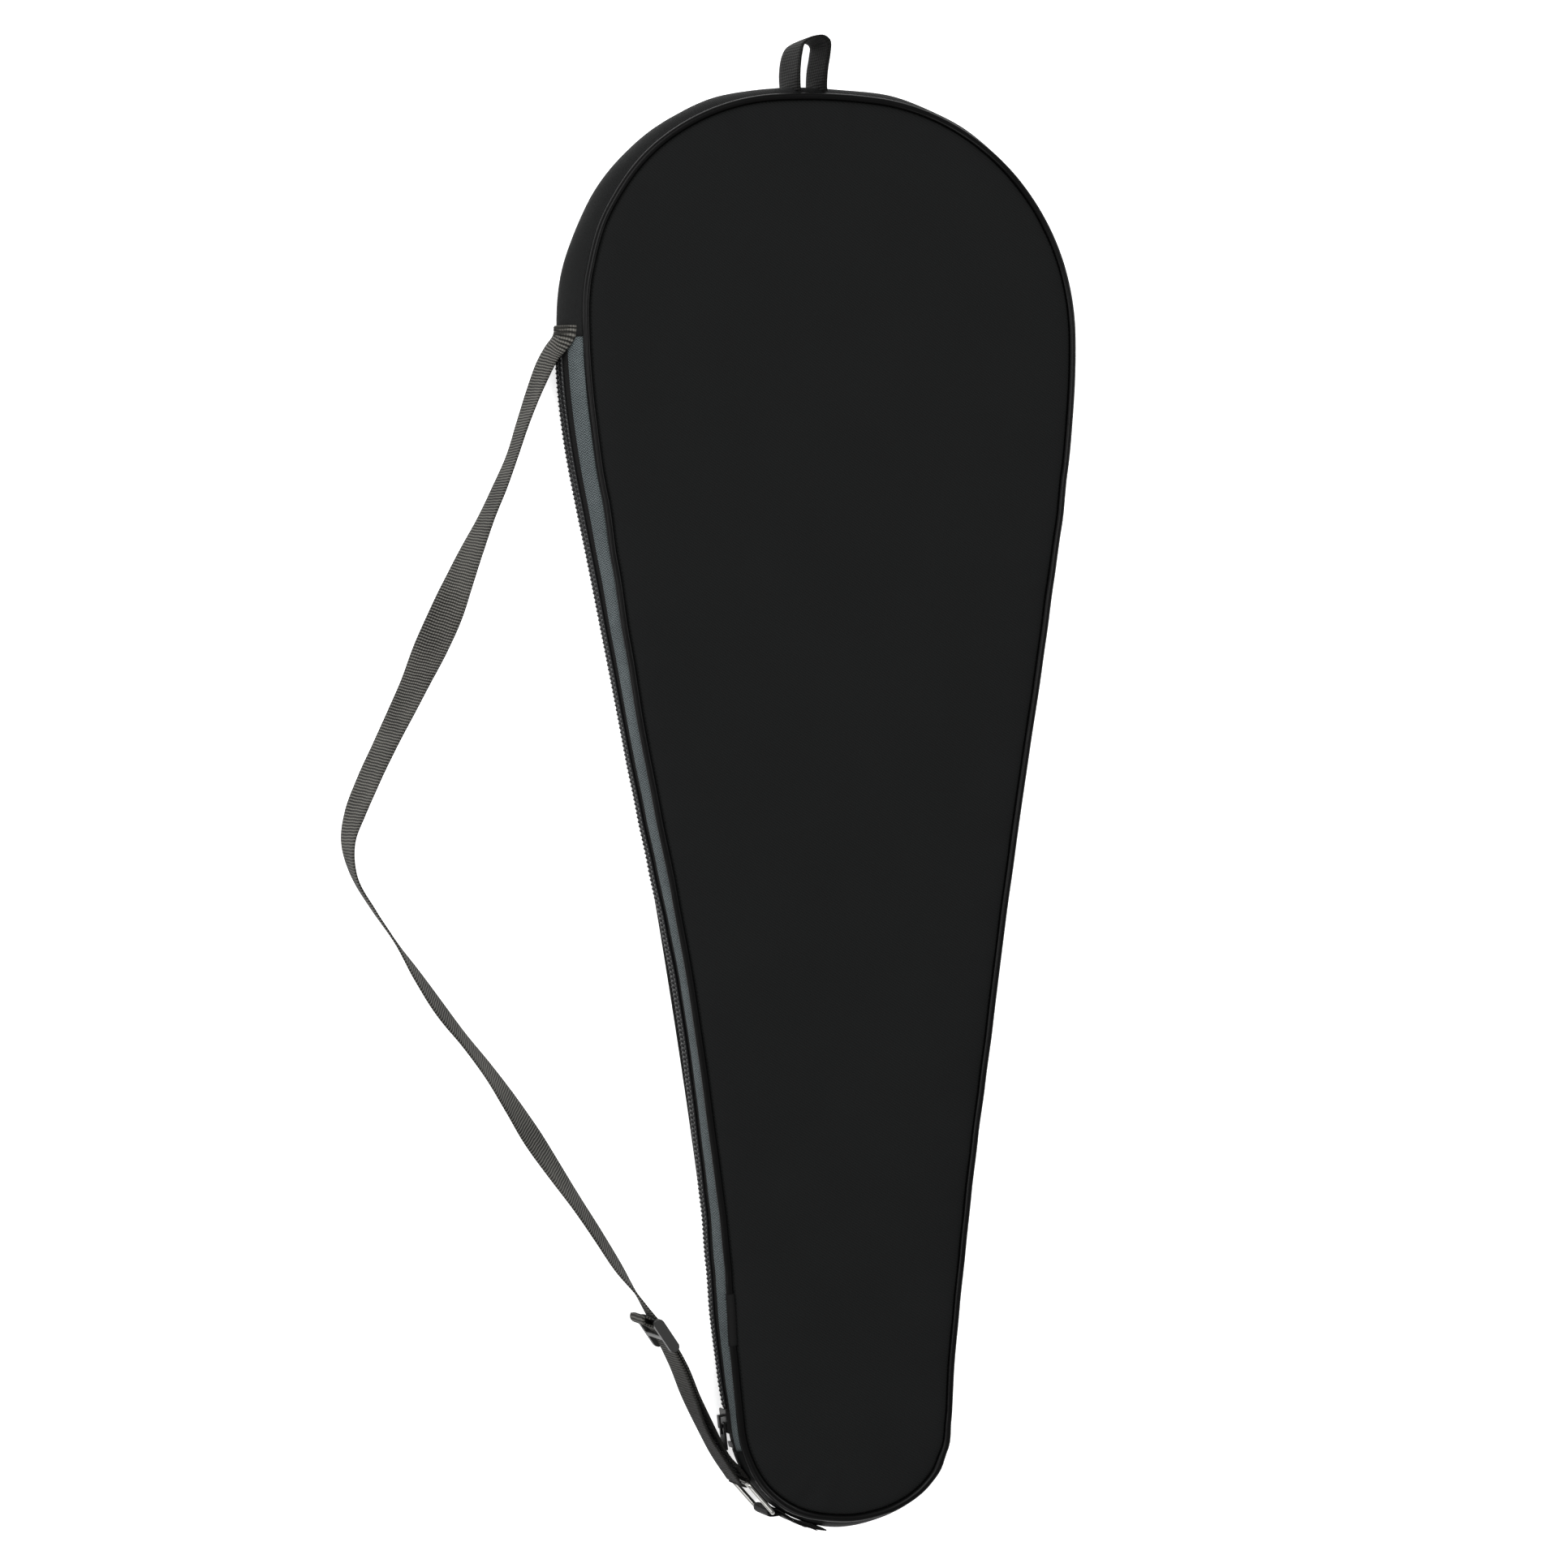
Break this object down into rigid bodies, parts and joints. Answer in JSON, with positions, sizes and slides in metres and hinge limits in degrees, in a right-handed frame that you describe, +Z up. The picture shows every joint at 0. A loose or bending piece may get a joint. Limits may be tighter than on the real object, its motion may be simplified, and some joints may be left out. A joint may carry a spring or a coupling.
{
  "type": "zipped racket case",
  "caption": "Soft padded teardrop case for one racket, with a long side zip, piped seams, a hanging loop and an adjustable webbing strap.",
  "frame": {"origin": "on the back panel's outer face, which is what the case lies on, half way along and on the case's middle line", "axes": "+Z up through the case from the back panel to the front panel, +Y along the case towards the hanging loop, the zip and the strap on the -X side"},
  "size_m": [0.3914, 0.7569, 0.032],
  "materials": {
    "front_panel": "matt close woven nylon",
    "back_panel": "matt close woven nylon",
    "foam": "closed cell foam",
    "lining": "plain light nylon",
    "binding": "ribbed edge tape",
    "piping": "glossy rolled piping",
    "sleeve": "matt shrunk sleeve",
    "gusset": "matt coarse woven nylon",
    "zip_tape": "herringbone zip tape",
    "coil": "nylon coil with sewing thread",
    "stop": "moulded",
    "slider": "black enamel, worn bright at the edges",
    "pull": "black enamel",
    "webbing": "ribbed herringbone webbing",
    "tab_webbing": "ribbed webbing",
    "adjuster": "moulded nylon",
    "ring": "nickel plated wire",
    "tacks": "dense thread"
  },
  "bodies": {
    "case": {"back_foam": "foam", "back_lining": "lining", "back_panel": "back_panel", "back_piping": "piping", "back_piping_sleeve": "sleeve", "back_seam_binding": "binding", "bar_tacks": "tacks", "front_foam": "foam", "front_lining": "lining", "front_panel": "front_panel", "front_piping": "piping", "front_piping_sleeve": "sleeve", "front_seam_binding": "binding", "gusset_band": "gusset", "gusset_lining": "lining", "hanging_loop": "tab_webbing", "ring_tab": "tab_webbing", "shoulder_strap": "webbing", "strap_return": "webbing", "zip_bottom_stop": "stop", "zip_coil_back": "coil", "zip_coil_front": "coil", "zip_tape_back": "zip_tape", "zip_tape_front": "zip_tape", "zip_top_stop": "stop"},
    "zip_slider": {"zip_slider": "slider"},
    "zip_pull": {"zip_pull": "pull"},
    "strap_adjuster": {"strap_adjuster": "adjuster"},
    "strap_ring": {"strap_ring": "ring"}
  },
  "joints": [
    {"name": "slider_travel", "type": "hinge", "parent": "case", "child": "zip_slider", "pos_m": [-4.29765, -0.71104, 0.016], "axis": [0, 0, 1], "range_deg": [0, 6.32]},
    {"name": "pull_swing", "type": "hinge", "parent": "zip_slider", "child": "zip_pull", "pos_m": [-0.06436, -0.30771, 0.016], "axis": [0, 0, -1], "range_deg": [0, 175]},
    {"name": "strap_length", "type": "slide", "parent": "case", "child": "strap_adjuster", "axis": [-0.5515, 0.8342, 0], "range_m": [0, 0.2], "deforming": ["shoulder_strap", "strap_return"]},
    {"name": "ring_swing", "type": "hinge", "parent": "case", "child": "strap_ring", "pos_m": [-0.04184, -0.3527, 0.0145], "axis": [0, 0, 1], "range_deg": [0, 120]}
  ]
}
